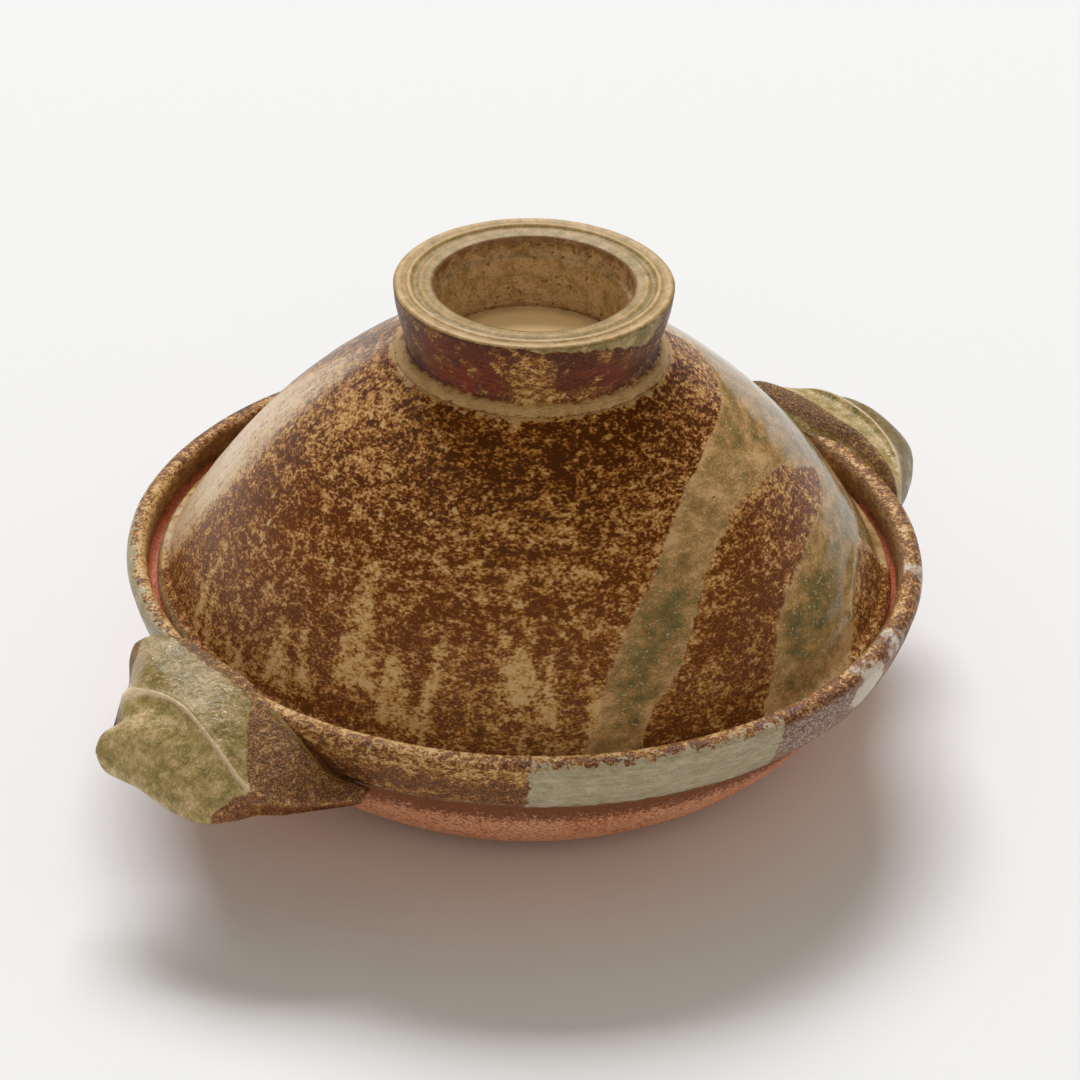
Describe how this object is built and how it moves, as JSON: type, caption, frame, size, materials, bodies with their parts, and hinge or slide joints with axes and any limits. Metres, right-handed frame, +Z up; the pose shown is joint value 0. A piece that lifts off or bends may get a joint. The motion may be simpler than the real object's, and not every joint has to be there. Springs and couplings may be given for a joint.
{
  "type": "earthenware hot pot",
  "caption": "Round hand-thrown earthenware hot pot with a gallery rim, folded lug handles and a loose conical lid under a grooved ring knob.",
  "frame": {"origin": "centre of the foot, on the surface that the pot stands on", "axes": "+Z up along the throwing axis, +X through the handles"},
  "size_m": [0.3353, 0.27, 0.1709],
  "materials": {
    "bowl_glaze": "iron-brown and pale green ash glaze over bare terracotta below",
    "lug_glaze": "glossy olive ash glaze running into mottled brown",
    "lid_glaze": "speckled iron-brown glaze with poured olive stripes, satin",
    "knob_glaze": "reddish brown wall with an olive top and recess"
  },
  "bodies": {
    "pot": {"pot_bowl": "bowl_glaze", "handle_right": "lug_glaze", "handle_left": "lug_glaze"},
    "lid": {"lid_dome": "lid_glaze", "lid_knob": "knob_glaze"}
  },
  "joints": [
    {"name": "lid_lift", "type": "slide", "parent": "pot", "child": "lid", "axis": [0, 0, 1], "range_m": [0, 0.12]}
  ]
}
